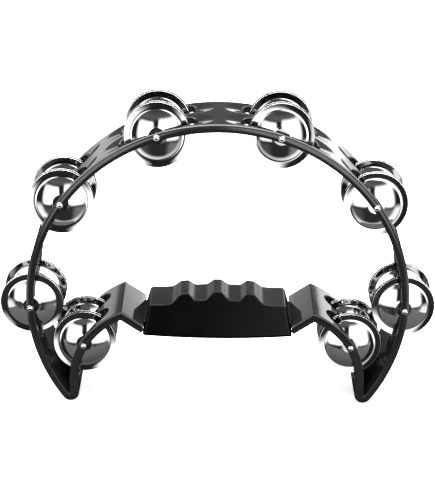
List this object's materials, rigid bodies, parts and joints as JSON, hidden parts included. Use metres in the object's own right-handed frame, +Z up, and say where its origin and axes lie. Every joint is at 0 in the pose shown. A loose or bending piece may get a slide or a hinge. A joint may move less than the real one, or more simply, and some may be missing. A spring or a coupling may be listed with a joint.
{
  "type": "half-moon tambourine",
  "caption": "Half-moon tambourine: black arched band on two horns, domed chrome jingles sliding on pins in two rows of windows, finger-grooved grip.",
  "frame": {"origin": "on the ground, midway between the two horn tips and midway through the band's depth", "axes": "+X to the player's right across the band, +Y through the band from its front face to its back face, +Z up from the horn tips to the top of the arch"},
  "size_m": [0.2978, 0.0502, 0.2174],
  "materials": {
    "band": "polished black ABS",
    "grip": "fine satin rubber",
    "pin": "polished domed heads",
    "jingle": "mirror-polished pressed sheet"
  },
  "bodies": {
    "band": {"frame": "band", "grip": "grip", "pin_top_left": "pin", "pin_upper_left": "pin", "pin_side_left": "pin", "pin_inner_left": "pin", "pin_top_right": "pin", "pin_upper_right": "pin", "pin_side_right": "pin", "pin_inner_right": "pin"},
    "jingle_top_left_1": {"jingle_top_left_1": "jingle"},
    "jingle_top_left_2": {"jingle_top_left_2": "jingle"},
    "jingle_top_left_3": {"jingle_top_left_3": "jingle"},
    "jingle_top_left_4": {"jingle_top_left_4": "jingle"},
    "jingle_upper_left_1": {"jingle_upper_left_1": "jingle"},
    "jingle_upper_left_2": {"jingle_upper_left_2": "jingle"},
    "jingle_upper_left_3": {"jingle_upper_left_3": "jingle"},
    "jingle_upper_left_4": {"jingle_upper_left_4": "jingle"},
    "jingle_side_left_1": {"jingle_side_left_1": "jingle"},
    "jingle_side_left_2": {"jingle_side_left_2": "jingle"},
    "jingle_side_left_3": {"jingle_side_left_3": "jingle"},
    "jingle_side_left_4": {"jingle_side_left_4": "jingle"},
    "jingle_inner_left_1": {"jingle_inner_left_1": "jingle"},
    "jingle_inner_left_2": {"jingle_inner_left_2": "jingle"},
    "jingle_inner_left_3": {"jingle_inner_left_3": "jingle"},
    "jingle_inner_left_4": {"jingle_inner_left_4": "jingle"},
    "jingle_top_right_1": {"jingle_top_right_1": "jingle"},
    "jingle_top_right_2": {"jingle_top_right_2": "jingle"},
    "jingle_top_right_3": {"jingle_top_right_3": "jingle"},
    "jingle_top_right_4": {"jingle_top_right_4": "jingle"},
    "jingle_upper_right_1": {"jingle_upper_right_1": "jingle"},
    "jingle_upper_right_2": {"jingle_upper_right_2": "jingle"},
    "jingle_upper_right_3": {"jingle_upper_right_3": "jingle"},
    "jingle_upper_right_4": {"jingle_upper_right_4": "jingle"},
    "jingle_side_right_1": {"jingle_side_right_1": "jingle"},
    "jingle_side_right_2": {"jingle_side_right_2": "jingle"},
    "jingle_side_right_3": {"jingle_side_right_3": "jingle"},
    "jingle_side_right_4": {"jingle_side_right_4": "jingle"},
    "jingle_inner_right_1": {"jingle_inner_right_1": "jingle"},
    "jingle_inner_right_2": {"jingle_inner_right_2": "jingle"},
    "jingle_inner_right_3": {"jingle_inner_right_3": "jingle"},
    "jingle_inner_right_4": {"jingle_inner_right_4": "jingle"}
  },
  "joints": [
    {"name": "jingle_top_left_1_slide", "type": "slide", "parent": "band", "child": "jingle_top_left_1", "axis": [0, -1, 0], "range_m": [0, 0.0008]},
    {"name": "jingle_top_left_2_slide", "type": "slide", "parent": "band", "child": "jingle_top_left_2", "axis": [0, 1, 0], "range_m": [0, 0.0018]},
    {"name": "jingle_top_left_3_slide", "type": "slide", "parent": "band", "child": "jingle_top_left_3", "axis": [0, -1, 0], "range_m": [0, 0.0008]},
    {"name": "jingle_top_left_4_slide", "type": "slide", "parent": "band", "child": "jingle_top_left_4", "axis": [0, 1, 0], "range_m": [0, 0.0018]},
    {"name": "jingle_upper_left_1_slide", "type": "slide", "parent": "band", "child": "jingle_upper_left_1", "axis": [0, -1, 0], "range_m": [0, 0.0008]},
    {"name": "jingle_upper_left_2_slide", "type": "slide", "parent": "band", "child": "jingle_upper_left_2", "axis": [0, 1, 0], "range_m": [0, 0.0018]},
    {"name": "jingle_upper_left_3_slide", "type": "slide", "parent": "band", "child": "jingle_upper_left_3", "axis": [0, -1, 0], "range_m": [0, 0.0008]},
    {"name": "jingle_upper_left_4_slide", "type": "slide", "parent": "band", "child": "jingle_upper_left_4", "axis": [0, 1, 0], "range_m": [0, 0.0018]},
    {"name": "jingle_side_left_1_slide", "type": "slide", "parent": "band", "child": "jingle_side_left_1", "axis": [0, -1, 0], "range_m": [0, 0.0008]},
    {"name": "jingle_side_left_2_slide", "type": "slide", "parent": "band", "child": "jingle_side_left_2", "axis": [0, 1, 0], "range_m": [0, 0.0018]},
    {"name": "jingle_side_left_3_slide", "type": "slide", "parent": "band", "child": "jingle_side_left_3", "axis": [0, -1, 0], "range_m": [0, 0.0008]},
    {"name": "jingle_side_left_4_slide", "type": "slide", "parent": "band", "child": "jingle_side_left_4", "axis": [0, 1, 0], "range_m": [0, 0.0018]},
    {"name": "jingle_inner_left_1_slide", "type": "slide", "parent": "band", "child": "jingle_inner_left_1", "axis": [0, -1, 0], "range_m": [0, 0.0008]},
    {"name": "jingle_inner_left_2_slide", "type": "slide", "parent": "band", "child": "jingle_inner_left_2", "axis": [0, 1, 0], "range_m": [0, 0.0018]},
    {"name": "jingle_inner_left_3_slide", "type": "slide", "parent": "band", "child": "jingle_inner_left_3", "axis": [0, -1, 0], "range_m": [0, 0.0008]},
    {"name": "jingle_inner_left_4_slide", "type": "slide", "parent": "band", "child": "jingle_inner_left_4", "axis": [0, 1, 0], "range_m": [0, 0.0018]},
    {"name": "jingle_top_right_1_slide", "type": "slide", "parent": "band", "child": "jingle_top_right_1", "axis": [0, -1, 0], "range_m": [0, 0.0008]},
    {"name": "jingle_top_right_2_slide", "type": "slide", "parent": "band", "child": "jingle_top_right_2", "axis": [0, 1, 0], "range_m": [0, 0.0018]},
    {"name": "jingle_top_right_3_slide", "type": "slide", "parent": "band", "child": "jingle_top_right_3", "axis": [0, -1, 0], "range_m": [0, 0.0008]},
    {"name": "jingle_top_right_4_slide", "type": "slide", "parent": "band", "child": "jingle_top_right_4", "axis": [0, 1, 0], "range_m": [0, 0.0018]},
    {"name": "jingle_upper_right_1_slide", "type": "slide", "parent": "band", "child": "jingle_upper_right_1", "axis": [0, -1, 0], "range_m": [0, 0.0008]},
    {"name": "jingle_upper_right_2_slide", "type": "slide", "parent": "band", "child": "jingle_upper_right_2", "axis": [0, 1, 0], "range_m": [0, 0.0018]},
    {"name": "jingle_upper_right_3_slide", "type": "slide", "parent": "band", "child": "jingle_upper_right_3", "axis": [0, -1, 0], "range_m": [0, 0.0008]},
    {"name": "jingle_upper_right_4_slide", "type": "slide", "parent": "band", "child": "jingle_upper_right_4", "axis": [0, 1, 0], "range_m": [0, 0.0018]},
    {"name": "jingle_side_right_1_slide", "type": "slide", "parent": "band", "child": "jingle_side_right_1", "axis": [0, -1, 0], "range_m": [0, 0.0008]},
    {"name": "jingle_side_right_2_slide", "type": "slide", "parent": "band", "child": "jingle_side_right_2", "axis": [0, 1, 0], "range_m": [0, 0.0018]},
    {"name": "jingle_side_right_3_slide", "type": "slide", "parent": "band", "child": "jingle_side_right_3", "axis": [0, -1, 0], "range_m": [0, 0.0008]},
    {"name": "jingle_side_right_4_slide", "type": "slide", "parent": "band", "child": "jingle_side_right_4", "axis": [0, 1, 0], "range_m": [0, 0.0018]},
    {"name": "jingle_inner_right_1_slide", "type": "slide", "parent": "band", "child": "jingle_inner_right_1", "axis": [0, -1, 0], "range_m": [0, 0.0008]},
    {"name": "jingle_inner_right_2_slide", "type": "slide", "parent": "band", "child": "jingle_inner_right_2", "axis": [0, 1, 0], "range_m": [0, 0.0018]},
    {"name": "jingle_inner_right_3_slide", "type": "slide", "parent": "band", "child": "jingle_inner_right_3", "axis": [0, -1, 0], "range_m": [0, 0.0008]},
    {"name": "jingle_inner_right_4_slide", "type": "slide", "parent": "band", "child": "jingle_inner_right_4", "axis": [0, 1, 0], "range_m": [0, 0.0018]}
  ]
}
